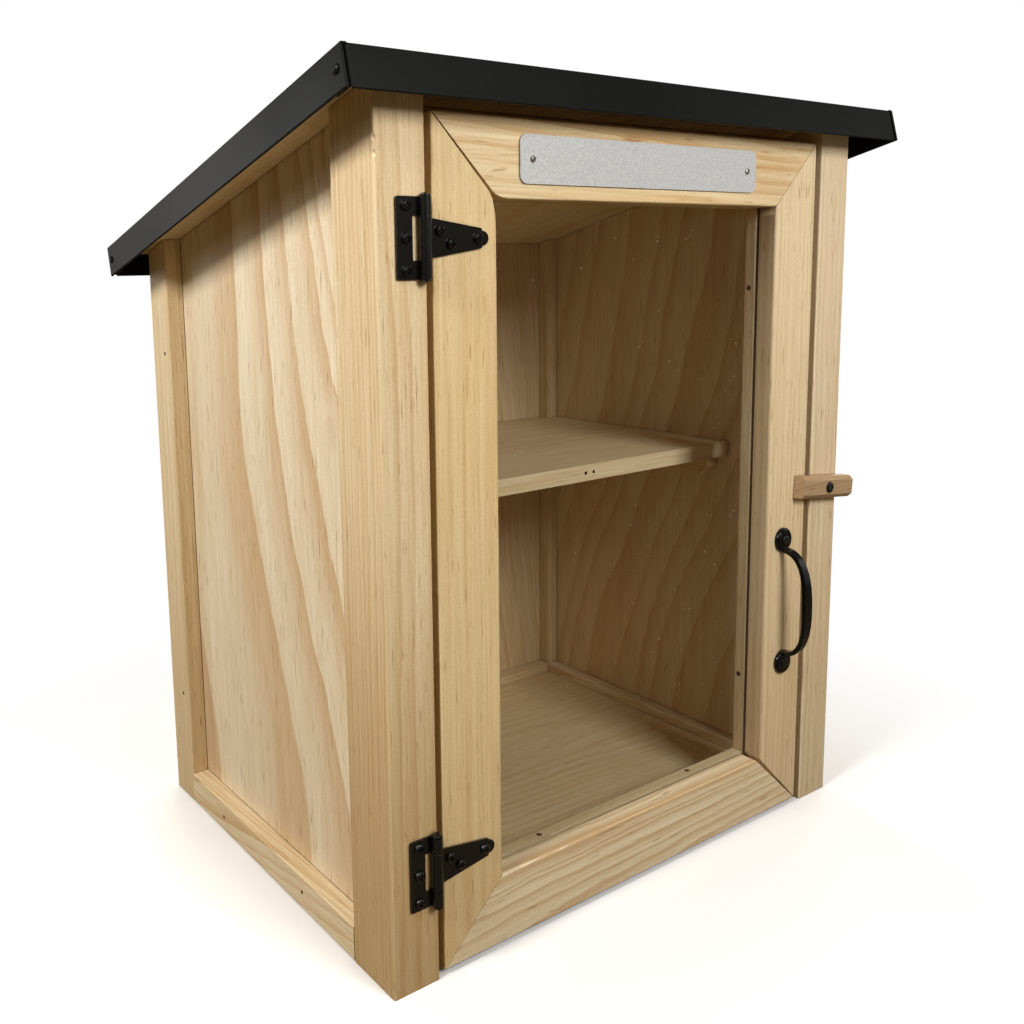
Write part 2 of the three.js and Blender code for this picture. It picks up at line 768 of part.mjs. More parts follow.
// The strap tapers to two stepped shoulders and ends in a round lobe
function strapOutline(height) {
  const root = strapRootHeight / 2;
  const shoulder = strapShoulderHeight / 2;
  const lobeX = pinX + strapLobeReach - strapLobeRadius;
  const shoulderX = pinX + strapShoulderReach;
  const shape = new THREE.Shape();
  shape.moveTo(pinX, height - root);
  shape.lineTo(shoulderX, height - shoulder);
  shape.quadraticCurveTo(shoulderX, height - strapLobeRadius, lobeX, height - strapLobeRadius);
  shape.absarc(lobeX, height, strapLobeRadius, -Math.PI / 2, Math.PI / 2, false);
  shape.quadraticCurveTo(shoulderX, height + strapLobeRadius, shoulderX, height + shoulder);
  shape.lineTo(pinX, height + root);
  return shape;
}

function hingeStrap(height) {
  const half = knuckleLength / 2;
  const whole = joined([
    alongY(strapOutline(height), leafFront, leafBack, roundSegments / 2),
    knuckle(1, height - half, height + half),
  ]);
  return cut(whole, strapScrewPlaces(height).map((place) => screwHole(hingeScrew, ...place)));
}

function hingePin() {
  const end = leafHeight / 2 + seat;
  const dome = [[pinHeadRadius, pinHeadHeight / 3], [pinHeadRadius / 2, pinHeadHeight], [0, pinHeadHeight]];
  const upper = dome.map(([radius, rise]) => [radius, end + rise]);
  const lower = dome.map(([radius, rise]) => [radius, -end - rise]).reverse();
  return turnedAboutZ([
    ...lower, [pinHeadRadius, -end], [pinRadius, -end],
    [pinRadius, end], [pinHeadRadius, end], ...upper,
  ]);
}

// Pull handle: two round feet and a flat bar bowed out between them, widest at the grip
function handleFoot(x, z) {
  const corner = handleFootRadius - handleFootRounding;
  const profile = [
    [0, -handleFootThickness], [corner, -handleFootThickness],
    [handleFootRadius - handleFootRounding / 4, -handleFootThickness + handleFootRounding / 2],
    [handleFootRadius, -handleFootThickness + handleFootRounding],
    [handleFootRadius, 0], [0, 0],
  ];
  return turnedAboutY(profile).translate(x, leafBack, z);
}

// Points of the bow, from its top end to its bottom end, a given distance inside
function bowPoints(inset) {
  const rise = handleSpan / 2 - handleFootRadius + handleBarThickness - inset;
  const reach = handleReach - butt - inset;
  return Array.from({ length: bowSegments + 1 }, (_, step) => {
    const angle = Math.PI * step / bowSegments;
    const up = Math.sign(Math.cos(angle)) * Math.abs(Math.cos(angle)) ** (2 / handleBowPower);
    const out = Math.abs(Math.sin(angle)) ** (2 / handleBowPower);
    return [leafBack - reach * out, rise * up];
  });
}

// The bar's outline from the front: half a wave of swelling between its necks
function gripOutline() {
  const rise = handleSpan / 2 - handleFootRadius + handleBarThickness;
  const side = Array.from({ length: bowSegments / 2 + 1 }, (_, step) => {
    const along = 2 * step / (bowSegments / 2) - 1;
    const swell = (handleGripWidth - handleNeckWidth) * Math.cos(Math.PI * along / 2) ** 2;
    return [(handleNeckWidth + swell) / 2, along * (rise + overrun)];
  });
  return polygon([...side, ...side.map(([x, z]) => [-x, z]).reverse()]);
}

function handleBar() {
  const bow = polygon([...bowPoints(0), ...bowPoints(handleBarThickness).reverse()]);
  const bar = alongX(bow, -handleGripWidth / 2, handleGripWidth / 2);
  const reach = leafBack - handleReach - overrun;
  const tapered = common(bar, alongY(gripOutline(), reach, leafBack - handleFootThickness / 2));
  return tapered.rotateY(-handleLean).translate(handleX, 0, handleHeight);
}

function pullHandle() {
  const feet = handleScrewPlaces.map(([x, , z]) => handleFoot(x, z));
  const holes = handleScrewPlaces.map((place) => screwHole(handleScrew, ...place));
  return cut(joined([handleBar(), ...feet]), holes);
}

function nameplate() {
  const outline = roundedRectangle(
    plateX - plateWidth / 2, plateX + plateWidth / 2,
    plateZ - plateHeight / 2, plateZ + plateHeight / 2, plateRounding,
  );
  const holes = plateScrewPlaces.map((place) => screwHole(plateScrew, ...place));
  return cut(alongY(outline, plateFront, leafBack, 2 * cornerSegments), holes);
}

function turnButton() {
  const half = buttonHeight / 2;
  const section = polygon([
    [buttonBack, -half], [buttonBack, half],
    [buttonFront + buttonChamfer, half], [buttonFront, half - buttonChamfer],
    [buttonFront, buttonChamfer - half], [buttonFront + buttonChamfer, -half],
  ]);
  const bar = alongX(section, -buttonLength / 2, buttonLength / 2);
  bar.rotateY(THREE.MathUtils.degToRad(buttonTiltDegrees));
  bar.translate(buttonPivotX, 0, buttonPivotHeight);
  return cut(bar, [screwHole(latchScrew, ...latchScrewPlace)]);
}

function addCabinet(assembly) {
  const group = addGroup(assembly, new THREE.Vector3());
  const at = (x, y, z) => new THREE.Vector3(x, y, z);
  for (const [word, side] of [['left', -1], ['right', 1]]) {
    const x = side * right;
    addPiece(group, `front_${word}_post`, frontPost(side), pine, at(x, front, 0));
    addPiece(group, `rear_${word}_post`, rearPost(side), pine, at(x, rear, 0));
    addPiece(group, `${word}_rail`, sideRail(side), pine, at(x, 0, 0));
    addPiece(group, `${word}_panel`, sidePanel(side), pine, at(side * panelInner, 0, railHeight));
    addPiece(group, `${word}_cleat`, cleat(side), pine, at(side * panelInner, 0, shelfHeight));
  }
  addPiece(group, 'rear_rail', rearRail(), pine, at(0, rear, 0));
  addPiece(group, 'front_sill', frontSill(), pine, at(0, frontPostRear, 0));
  addPiece(group, 'head_rail', headRail(), pine, at(0, frontPostRear, doorTop));
  addPiece(group, 'back_panel', backPanel(), plywood, at(0, backPanelFront, railHeight));
  addPiece(group, 'floor_board', floorBoard(), plywood);
  addPiece(group, 'shelf', shelfBoard(), pine, at(0, front + shelfSetback, shelfHeight));
  addFixedHinges(group);
  addScrews(group, () => 'latch_screw', latchScrew, [latchScrewPlace]);
}

function addFixedHinges(group) {
  for (const [word, height] of Object.entries(hingeHeights)) {
    const anchor = new THREE.Vector3(pinX, pinY, height);
    addPiece(group, `${word}_hinge_leaf`, hingeLeaf(height), blackMetal, anchor);
    const pin = hingePin().translate(anchor.x, anchor.y, anchor.z);
    addPiece(group, `${word}_hinge_pin`, pin, blackMetal, anchor);
    addScrews(group, (index) => `${word}_leaf_screw_${index + 1}`, hingeScrew, leafScrewPlaces(height));
  }
}

// The roof is drawn flat and tipped back by its slope
function addRoof(assembly) {
  const roof = addGroup(assembly, new THREE.Vector3(0, roofFront, roofHeight), new THREE.Vector3());
  roof.rotation.x = -slope;
  addPiece(roof, 'roof_tray', roofTray(), roofMetal);
  addPiece(roof, 'roof_deck', roofDeck(), plywood);
  for (const { side, end } of corners) {
    const name = `${end < 0 ? 'front' : 'rear'}_${side < 0 ? 'left' : 'right'}_rivet`;
    const place = rivetPlace(side, end);
    addPiece(roof, name, rivet(side).translate(place.x, place.y, place.z), roofMetal, place);
  }
}

function addDoor(assembly) {
  const door = addGroup(assembly, new THREE.Vector3(pinX, pinY, doorBottom));
  const at = (x, z) => new THREE.Vector3(x, front, z);
  addPiece(door, 'left_stile', leftStile(), pine, at(doorLeft, doorBottom));
  addPiece(door, 'right_stile', rightStile(), pine, at(doorRight, doorBottom));
  addPiece(door, 'top_rail', topRail(), pine, at(doorLeft, doorTop));
  addPiece(door, 'bottom_rail', bottomRail(), pine, at(doorLeft, doorBottom));
  addPiece(door, 'window_pane', windowPane(), acrylic, at(doorLeft, doorBottom));
  addPiece(door, 'left_stop', uprightStop(-1), pine, at(doorLeft, doorBottom));
  addPiece(door, 'right_stop', uprightStop(1), pine, at(doorRight, doorBottom));
  addPiece(door, 'top_stop', levelStop(1), pine, at(doorLeft, doorTop));
  addPiece(door, 'bottom_stop', levelStop(-1), pine, at(doorLeft, doorBottom));
  for (const [word, height] of Object.entries(hingeHeights)) {
    addPiece(door, `${word}_hinge_strap`, hingeStrap(height), blackMetal, at(pinX, height));
    addScrews(door, (index) => `${word}_strap_screw_${index + 1}`, hingeScrew, strapScrewPlaces(height));
  }
  addPiece(door, 'pull_handle', pullHandle(), blackMetal, at(handleX, handleHeight));
  addScrews(door, (index) => `handle_screw_${index + 1}`, handleScrew, handleScrewPlaces);
  addPiece(door, 'nameplate', nameplate(), silver, at(plateX, plateZ));
  addScrews(door, (index) => `plate_screw_${index + 1}`, plateScrew, plateScrewPlaces);
}

function addLatch(assembly) {
  const pivot = new THREE.Vector3(buttonPivotX, buttonBack, buttonPivotHeight);
  const latch = addGroup(assembly, pivot);
  addPiece(latch, 'turn_button', turnButton(), weatheredPine, pivot);
}

const bookExchangeBox = new THREE.Group();
addCabinet(bookExchangeBox);
addRoof(bookExchangeBox);
addDoor(bookExchangeBox);
addLatch(bookExchangeBox);

export default bookExchangeBox;
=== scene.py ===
"""Looks of the street book exchange box: timber, metal, clear pane, small fittings, light and camera.

Metres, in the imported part's frame: +Z up, the door faces -Y, +X to the right.
"""

import json
import math
from collections import namedtuple

import bmesh
import bpy
from mathutils import Matrix, Vector

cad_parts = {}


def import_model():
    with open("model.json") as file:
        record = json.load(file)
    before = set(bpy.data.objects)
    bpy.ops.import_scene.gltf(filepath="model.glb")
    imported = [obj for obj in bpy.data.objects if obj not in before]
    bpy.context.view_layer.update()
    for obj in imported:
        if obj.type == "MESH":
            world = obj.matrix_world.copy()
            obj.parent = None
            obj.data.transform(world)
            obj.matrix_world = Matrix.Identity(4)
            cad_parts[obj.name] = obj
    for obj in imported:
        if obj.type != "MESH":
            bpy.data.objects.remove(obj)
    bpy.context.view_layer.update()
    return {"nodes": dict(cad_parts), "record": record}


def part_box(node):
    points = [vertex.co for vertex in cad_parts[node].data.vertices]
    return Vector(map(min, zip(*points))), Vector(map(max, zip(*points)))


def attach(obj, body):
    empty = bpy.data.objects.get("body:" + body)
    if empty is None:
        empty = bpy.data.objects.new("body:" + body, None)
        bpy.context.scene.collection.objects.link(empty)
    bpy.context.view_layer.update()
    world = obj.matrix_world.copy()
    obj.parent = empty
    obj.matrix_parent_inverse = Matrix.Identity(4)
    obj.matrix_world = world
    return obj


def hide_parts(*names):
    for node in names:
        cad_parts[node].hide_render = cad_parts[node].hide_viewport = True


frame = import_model()
nodes = frame["nodes"]

MM = 0.001
WHITE = (1.0, 1.0, 1.0, 1.0)

# Camera, fitted to the photograph
CAMERA_PLACE = (-0.59081, -0.70576, 0.48419)
CAMERA_RIGHT = (0.82788, -0.56037, -0.02463)
CAMERA_UP = (0.10097, 0.10569, 0.98926)
CAMERA_BACK = (-0.55175, -0.82147, 0.14408)
CAMERA_SENSOR = 36.0
CAMERA_LENS = 35.78
CAMERA_SHIFT = (0.124, -0.084)
CAMERA_CLIP = 0.01

# Light
WORLD_TINT = (1.0, 0.83, 0.59, 1.0)
WORLD_LEVEL = 0.19
PLAIN_LIGHT = (1.0, 1.0, 1.0)
LAMPS = {
    "left_lamp": {"place": (-1.30, -0.30, 1.20), "power": 17.5, "size": (0.36, 0.36)},
    "front_lamp": {"place": (0.02, -1.20, 0.98), "power": 11.8, "size": (0.45, 0.45)},
    "rear_left_lamp": {"place": (-1.50, 1.80, 0.60), "power": 8.5, "size": (0.90, 0.90)},
    "strip_lamp": {
        "place": (1.30, -0.90, 0.60), "power": 1.2, "size": (0.16, 1.10), "tint": (0.86, 0.93, 1.0),
    },
    "right_lamp": {"place": (1.70, 0.55, 0.80), "power": 10.0, "size": (0.90, 0.90)},
    "top_lamp": {"place": (0.20, 1.10, 1.90), "power": 16.0, "size": (1.00, 1.00)},
}
LAMP_TARGET = (0.0, 0.0, 0.38)
FLOOR_REACH = 30.0
FLOOR_LIT = (0.16, 0.12, 0.07, 1.0)
FLOOR_ROUGHNESS = 0.9
SHADOW_REACH = (0.32, 0.62)  # the floor's shadow fades into the white between these distances


class Graph:
    """A material's or world's nodes; a value given to a socket is a number, a colour or another output."""

    def __init__(self, holder):
        holder.use_nodes = True
        self.holder = holder
        self.tree = holder.node_tree
        self.tree.nodes.clear()

    def node(self, kind, values=(), **settings):
        made = self.tree.nodes.new(kind)
        for key, value in settings.items():
            setattr(made, key, value)
        for socket, value in dict(values).items():
            self.feed(made.inputs[socket], value)
        return made

    def feed(self, socket, value):
        if isinstance(value, bpy.types.NodeSocket):
            self.tree.links.new(value, socket)
        else:
            socket.default_value = value

    def math(self, operation, a, b=0.0, clamp=False):
        made = self.node("ShaderNodeMath", {0: a, 1: b}, operation=operation, use_clamp=clamp)
        return made.outputs[0]

    def vector(self, operation, a, b=(0.0, 0.0, 0.0)):
        name = "Value" if operation == "LENGTH" else "Vector"
        return self.node("ShaderNodeVectorMath", {0: a, 1: b}, operation=operation).outputs[name]

    def joined(self, x, y, z):
        return self.node("ShaderNodeCombineXYZ", {0: x, 1: y, 2: z}).outputs[0]

    def split(self, vector):
        return self.node("ShaderNodeSeparateXYZ", {0: vector}).outputs

    def place(self):
        return self.node("ShaderNodeTexCoord").outputs["Object"]

    def camera_ray(self):
        """1 where the camera looks, 0 for all other light."""
        return self.node("ShaderNodeLightPath").outputs["Is Camera Ray"]

    def noise(self, vector, scale, detail=2.0, roughness=0.5, output="Fac"):
        values = {"Vector": vector, "Scale": scale, "Detail": detail, "Roughness": roughness}
        return self.node("ShaderNodeTexNoise", values).outputs[output]

    def grain_noise(self, vector, stretch, scale, detail, roughness, output="Fac"):
        """A noise drawn out along the grain, the more so the smaller its stretch value is."""
        drawn = self.vector("MULTIPLY", vector, (1.0, 1.0, stretch))
        return self.noise(drawn, scale, detail, roughness, output)

    def remap(self, value, low, high, to_low=0.0, to_high=1.0, smooth=False):
        values = {"Value": value, "From Min": low, "From Max": high, "To Min": to_low, "To Max": to_high}
        kind = "SMOOTHSTEP" if smooth else "LINEAR"
        return self.node("ShaderNodeMapRange", values, interpolation_type=kind).outputs["Result"]

    def ramp(self, value, stops):
        made = self.node("ShaderNodeValToRGB", {"Fac": value})
        elements = made.color_ramp.elements
        while len(elements) < len(stops):
            elements.new(1.0)
        for element, (position, level) in zip(elements, stops):
            element.position = position
            element.color = (level, level, level, 1.0)
        return made.outputs["Color"]

    def blend(self, factor, a, b, kind="MIX"):
        made = self.node("ShaderNodeMix", data_type="RGBA", blend_type=kind)
        for socket, value in zip((0, 6, 7), (factor, a, b)):  # the colour mix's own sockets
            self.feed(made.inputs[socket], value)
        return made.outputs[2]

    def bump(self, height, distance, strength):
        values = {"Height": height, "Distance": distance, "Strength": strength}
        return self.node("ShaderNodeBump", values).outputs["Normal"]

    def skin(self, **values):
        """A Principled shader with these sockets."""
        shader = self.node("ShaderNodeBsdfPrincipled")
        for name, value in values.items():
            self.feed(shader.inputs[name.replace("_", " ")], value)
        return shader.outputs["BSDF"]

    def mix(self, factor, a, b):
        return self.node("ShaderNodeMixShader", {0: factor, 1: a, 2: b}).outputs[0]

    def finish(self, shader, output="ShaderNodeOutputMaterial"):
        self.node(output, {"Surface": shader})
        return self.holder


def material_graph(name):
    return Graph(bpy.data.materials.new(name))


def colour(red, green, blue):
    """A colour from its screen values, 0 to 255."""
    def linear(value):
        share = value / 255
        return share / 12.92 if share <= 0.04045 else ((share + 0.055) / 1.055) ** 2.4
    return (linear(red), linear(green), linear(blue), 1.0)


Knot = namedtuple("Knot", "across along size push dark")  # push moves the rings aside

# Timber. Grain axes: across the board's face, into the board, along the grain
GRAIN = {
    "front upright": ("X", "Y", "Z"),
    "front level": ("Z", "Y", "X"),
    "side upright": ("Y", "X", "Z"),
    "side level": ("Z", "X", "Y"),
    "flat": ("Y", "Z", "X"),
    "flat deep": ("X", "Z", "Y"),
}
TIMBER = {
    "grain": "front upright",
    "pith": (0.25, 0.10),  # where the heart of the tree lies: across, into
    "lean": (0.0, 0.0),  # how far the heart moves across and into per metre along
    "slump": (0.0, 0.0, 1.0),  # a bend of the heart across: how far, and between which heights
    "ring": 4.5 * MM,  # how wide a ring is
    "years": (),  # where the rings end, across from the heart, if they aren't alike
    "squeeze": (0.0, 1.0, 1.0, 1.0),  # two heights, and the spread of such rings there; negative mirrors
    "uneven": 0.8,  # how much the rings' widths differ
    "wander": 2.5 * MM,  # slow sway of the rings
    "wobble": 0.5 * MM,  # quick sway of the rings
    "contrast": 0.5,
    "inner": 0.25,  # share of the finer lines within a ring
    "fade": 0.45,  # strength of the late wood where it is palest
    "knots": (),
    "patch": 1.0,  # from here to pore: how strong each mark of MARKS is
    "streak": 1.0,
    "resin": 0.2,
    "fibre": 1.0,
    "fleck": 0.85,
    "pore": 1.0,
    "foot": 0.2,  # painted shade: how much the wood darkens towards its foot, where less light falls
    "painted_seam_shade": 0.9,  # painted shade: how dark it gets where it meets another piece
    "shade": None,  # painted shade for a face in shadow, a darker strip across: where it starts and where it has ended
    "pale": colour(240, 221, 183),
    "late": colour(214, 180, 130),
    "seed": 0.0,
}
NOISE_MIDDLE = (0.5, 0.5, 0.5)
NOISE_SPAN = 0.2  # a noise node's value stays about this far from its middle
SEED_STEP = (1.7, 0.6)  # how far apart in the noise, into and along, the boards of two seeds lie
RING_PROFILE = ((0.0, 0.0), (0.3, 0.06), (0.6, 0.38), (0.88, 0.9), (0.972, 1.0), (1.0, 0.0))
FINER_RINGS = 3.7  # finer lines per ring
FINER_SHIFT = 5.0  # how far unevenness shifts them
UNEVEN_NOISE = (0.6, 1.0)  # scale, detail
SWAYS = {  # stretch along the grain, scale, detail, roughness
    "wander": (0.25, 9.0, 1.0, 0.5),
    "wobble": (0.42, 34.0, 3.0, 0.55),
}
FADE_NOISE = (0.22, 16.0, 1.0, 0.5)  # stretch, scale, detail, roughness
FADE_SPAN = (0.3, 0.6)  # noise values where the late wood is palest and full
MARKS = {  # stretch, scale, detail, roughness; the noise values where a mark starts and is full
    "patch": ((0.3, 9.0, 3.0, 0.5), (0.35, 0.65)),
    "streak": ((0.03, 190.0, 2.0, 0.5), (0.35, 0.7)),
    "resin": ((0.045, 75.0, 3.0, 0.5), (0.5, 0.7)),
    "fibre": ((0.016, 950.0, 2.0, 0.6), (0.4, 0.72)),
    "fleck": ((0.07, 620.0, 1.0, 0.5), (0.66, 0.76)),
    "pore": ((1.0, 1300.0, 2.0, 0.7), (0.38, 0.66)),
}
TINTS = {  # what a mark multiplies the wood's colour by
    "patch": (0.95, 0.92, 0.875, 1.0),
    "streak": (0.955, 0.93, 0.88, 1.0),
    "resin": (0.88, 0.70, 0.50, 1.0),
    "fibre": (0.87, 0.82, 0.75, 1.0),
    "fleck": (0.62, 0.50, 0.38, 1.0),
    "pore": (0.89, 0.87, 0.83, 1.0),
    "knot": (0.62, 0.44, 0.28, 1.0),
    # painted shade in seams and crevices
    "painted_seam_shade": (0.30, 0.19, 0.11, 1.0),
    # painted shade towards the foot, where less light falls
    "foot": (0.76, 0.68, 0.56, 1.0),
    # painted shade on a face that lies in shadow
    "shade": (0.64, 0.61, 0.59, 1.0),
}
KNOT_SQUASH = 0.55  # a knot's size across as a share of its length along the grain
KNOT_DARK = (0.35, 0.9)  # nearness to its middle where the darkness starts and is full
FOOT_SHADE_REACH = (0.06, 0.38)  # heights between which the painted shade at the foot ends
# Painted shade in seams and crevices, where ambient occlusion finds little open air
SEAM_SHADE_REACH = 2.5 * MM
SEAM_SHADE_SAMPLES = 6
SEAM_SHADE_OPEN = (0.15, 0.75)  # share of open air where the painted seam shade is darkest and where it has ended
WOOD_ROUGHNESS = (0.3, 0.7, 0.48, 0.66)  # fibre noise from and to, roughness there
WOOD_RELIEF = {"late": 0.6, "pore": 0.4}  # shares beside the fibres' own
WOOD_BUMP = (0.22 * MM, 0.35)  # depth, strength
WOOD_SPECULAR = 0.32


def knot_nearness(graph, seeded, knot, seed):
    """1 at a knot's middle, 0 at its edge; a knot is stretched along the grain."""
    across, _, along = graph.split(seeded)
    aside = graph.math("SUBTRACT", across, knot.across)
    ahead = graph.math("SUBTRACT", along, knot.along + seed * SEED_STEP[1])
    ahead = graph.math("MULTIPLY", ahead, KNOT_SQUASH)
    distance = graph.vector("LENGTH", graph.joined(aside, ahead, 0.0))
    return graph.remap(distance, 0.0, knot.size, 1.0, 0.0, smooth=True)


def sway(graph, board, seeded, kind):
    """How far the rings are shifted across and into the board here."""
    level = graph.grain_noise(seeded, *SWAYS[kind], output="Color")
    reach = board[kind] / NOISE_SPAN
    return graph.vector("MULTIPLY", graph.vector("SUBTRACT", level, NOISE_MIDDLE), (reach, reach, 0.0))


def heart_offset(graph, board, here, seeded):
    """Where this point lies from the heart, which leans, slumps and sways along the board."""
    across, into, along = graph.split(graph.vector("SUBTRACT", here, (*board["pith"], 0.0)))
    far, start, end = board["slump"]
    slump = graph.remap(along, start, end, far, 0.0, smooth=True)
    across = graph.math("ADD", across, graph.math("MULTIPLY", along, board["lean"][0]))
    across = graph.math("ADD", across, slump)
    into = graph.math("ADD", into, graph.math("MULTIPLY", along, board["lean"][1]))
    for knot in board["knots"]:
        nearness = knot_nearness(graph, seeded, knot, board["seed"])
        across = graph.math("ADD", across, graph.math("MULTIPLY", nearness, knot.push))
    offset = graph.joined(across, into, 0.0)
    for kind in SWAYS:
        offset = graph.vector("ADD", offset, sway(graph, board, seeded, kind))
    return offset, along


def ring_count(graph, board, offset, along):
    """How many rings lie between the heart and here."""
    if not board["years"]:
        return graph.math("DIVIDE", graph.vector("LENGTH", offset), board["ring"])
    spread = graph.remap(along, *board["squeeze"])
    place = graph.math("MULTIPLY", graph.split(offset)[0], spread)
    count = 0.0
    for start, end in zip(board["years"], board["years"][1:]):
        count = graph.math("ADD", graph.remap(place, start, end), count)
    return count


def growth(graph, board, here, seeded):
    """How dark the late wood is here, 0 to 1."""
    count = ring_count(graph, board, *heart_offset(graph, board, here, seeded))
    uneven = graph.noise(graph.joined(count, board["seed"], 0.0), *UNEVEN_NOISE)
    count = graph.math("ADD", count, graph.math("MULTIPLY", uneven, 2.0 * board["uneven"]))
    ring = graph.ramp(graph.math("FRACT", count), RING_PROFILE)
    shift = graph.math("MULTIPLY", uneven, FINER_SHIFT)
    finer = graph.math("ADD", graph.math("MULTIPLY", count, FINER_RINGS), shift)
    finer = graph.ramp(graph.math("FRACT", finer), RING_PROFILE)
    late = graph.blend(board["inner"], ring, finer)
    fade = graph.remap(graph.grain_noise(seeded, *FADE_NOISE), *FADE_SPAN, board["fade"], 1.0)
    return graph.math("MULTIPLY", graph.math("MULTIPLY", late, fade), board["contrast"])


def wood(name, **changes):
    """Sawn timber, cut where the board's faces lie: rings, streaks, fibres and flecks along the grain."""
    board = {**TIMBER, **changes}
    graph = material_graph(name)
    coordinates = graph.split(graph.place())
    here = graph.joined(*(coordinates[axis] for axis in GRAIN[board["grain"]]))
    step_into, step_along = (board["seed"] * step for step in SEED_STEP)
    seeded = graph.vector("ADD", here, (0.0, step_into, step_along))
    late = growth(graph, board, here, seeded)
    tone = graph.blend(late, board["pale"], board["late"])
    noises = {mark: graph.grain_noise(seeded, *noise) for mark, (noise, _) in MARKS.items()}
    strengths = {mark: graph.remap(noises[mark], *MARKS[mark][1], 0.0, board[mark]) for mark in MARKS}
    # Painted shade: darker towards the foot, where less light falls
    strengths["foot"] = graph.remap(coordinates["Z"], *FOOT_SHADE_REACH, board["foot"], 0.0, smooth=True)
    # Painted shade: a darker strip where a face lies in shadow
    if board["shade"]:
        strengths["shade"] = graph.remap(graph.split(here)[0], *board["shade"], 1.0, 0.0, smooth=True)
    for mark, strength in strengths.items():
        tone = graph.blend(strength, tone, TINTS[mark], "MULTIPLY")
    for knot in board["knots"]:
        nearness = knot_nearness(graph, seeded, knot, board["seed"])
        dark = graph.remap(nearness, *KNOT_DARK, 0.0, knot.dark)
        tone = graph.blend(dark, tone, TINTS["knot"], "MULTIPLY")
    # Painted shade where the board meets another piece: darker where ambient occlusion finds little open
    # air
    occlusion = graph.node("ShaderNodeAmbientOcclusion", {"Distance": SEAM_SHADE_REACH}, samples=SEAM_SHADE_SAMPLES)
    seam_shade_strength = graph.remap(occlusion.outputs["AO"], *SEAM_SHADE_OPEN, board["painted_seam_shade"], 0.0)
    tone = graph.blend(seam_shade_strength, tone, TINTS["painted_seam_shade"], "MULTIPLY")
    late_relief = graph.math("MULTIPLY", late, WOOD_RELIEF["late"])
    pore_relief = graph.math("MULTIPLY", noises["pore"], WOOD_RELIEF["pore"])
    relief = graph.math("ADD", graph.math("ADD", late_relief, pore_relief), noises["fibre"])
    return graph.finish(graph.skin(
        Base_Color=tone,
        Roughness=graph.remap(noises["fibre"], *WOOD_ROUGHNESS),
        Normal=graph.bump(relief, *WOOD_BUMP),
        Specular_IOR_Level=WOOD_SPECULAR,
    ))


# Paint. Grain is the size of its skin's flecks; a cloud changes its tone and roughness slowly
PAINTED_HOLE_SHADE = "painted_hole_shade"
PAINTS = {
    # painted shade inside nail holes and bores
    PAINTED_HOLE_SHADE: {
        "shade": colour(44, 28, 17), "fleck": colour(70, 46, 28),
        "grain": 0.7 * MM, "roughness": 0.7, "relief": 0.1 * MM, "specular": 0.1,
    },
    "roof_coat": {
        "shade": colour(15, 16, 15), "fleck": colour(22, 23, 21),
        "grain": 0.9 * MM, "roughness": 0.36, "relief": 0.05 * MM, "specular": 0.08,
    },
    "black_paint": {
        "shade": colour(8, 8, 8), "fleck": colour(14, 14, 14),
        "grain": 1.2 * MM, "roughness": 0.22, "relief": 0.03 * MM, "specular": 0.5,
    },
    "gloss_paint": {
        "shade": colour(5, 5, 5), "fleck": colour(9, 9, 9),
        "grain": 1.2 * MM, "roughness": 0.14, "relief": 0.03 * MM, "specular": 0.26,
    },
}
PAINT_SKIN = (2.0, 0.6)  # detail and roughness of its noise
PAINT_SKIN_SPAN = (0.35, 0.7)
PAINT_CLOUD = (9.0, 2.0)  # scale, detail
PAINT_CLOUD_TONE = (0.35, 0.75, 0.0, 0.35)  # noise from and to, and the share of flecks there
PAINT_CLOUD_SPAN = (0.3, 0.7)
PAINT_ROUGHNESS_CHANGE = (-0.04, 0.05)
PAINT_BUMP = 0.4


def painted(name):
    """Paint or powder coat with a fine skin: small colour flecks and an orange-peel relief."""
    paint = PAINTS[name]
    graph = material_graph(name)
    place = graph.place()
    skin = graph.noise(place, 1.0 / paint["grain"], *PAINT_SKIN)
    cloud = graph.noise(place, *PAINT_CLOUD)
    tone = graph.blend(graph.remap(skin, *PAINT_SKIN_SPAN), paint["shade"], paint["fleck"])
    tone = graph.blend(graph.remap(cloud, *PAINT_CLOUD_TONE), tone, paint["fleck"])
    least, most = (paint["roughness"] + change for change in PAINT_ROUGHNESS_CHANGE)
    return graph.finish(graph.skin(
        Base_Color=tone,
        Roughness=graph.remap(cloud, *PAINT_CLOUD_SPAN, least, most),
        Normal=graph.bump(skin, paint["relief"], PAINT_BUMP),
        Specular_IOR_Level=paint["specular"],
    ))


# Nameplate. A tone or roughness has the noise from and to, and the value there
PLATE_GRIT = (950.0, 3.0, 0.7)  # scale, detail, roughness
PLATE_CLOUD = (14.0, 2.0)  # scale, detail
PLATE_SHADES = (colour(178, 179, 179), colour(221, 222, 220))
PLATE_CLOUD_SHADE = colour(204, 205, 205)
PLATE_GRIT_TONE = (0.34, 0.66, 0.0, 1.0)
PLATE_CLOUD_TONE = (0.35, 0.7, 0.0, 0.25)
PLATE_ROUGHNESS = (0.3, 0.7, 0.38, 0.55)
PLATE_METALLIC = 0.25
PLATE_BUMP = (0.08 * MM, 0.3)  # depth, strength


def silver():
    """Nameplate: sandblasted silver, speckled."""
    graph = material_graph("silver")
    place = graph.place()
    grit = graph.noise(place, *PLATE_GRIT)
    cloud = graph.noise(place, *PLATE_CLOUD)
    tone = graph.blend(graph.remap(grit, *PLATE_GRIT_TONE), *PLATE_SHADES)
    tone = graph.blend(graph.remap(cloud, *PLATE_CLOUD_TONE), tone, PLATE_CLOUD_SHADE)
    return graph.finish(graph.skin(
        Base_Color=tone,
        Metallic=PLATE_METALLIC,
        Roughness=graph.remap(grit, *PLATE_ROUGHNESS),
        Normal=graph.bump(grit, *PLATE_BUMP),
    ))


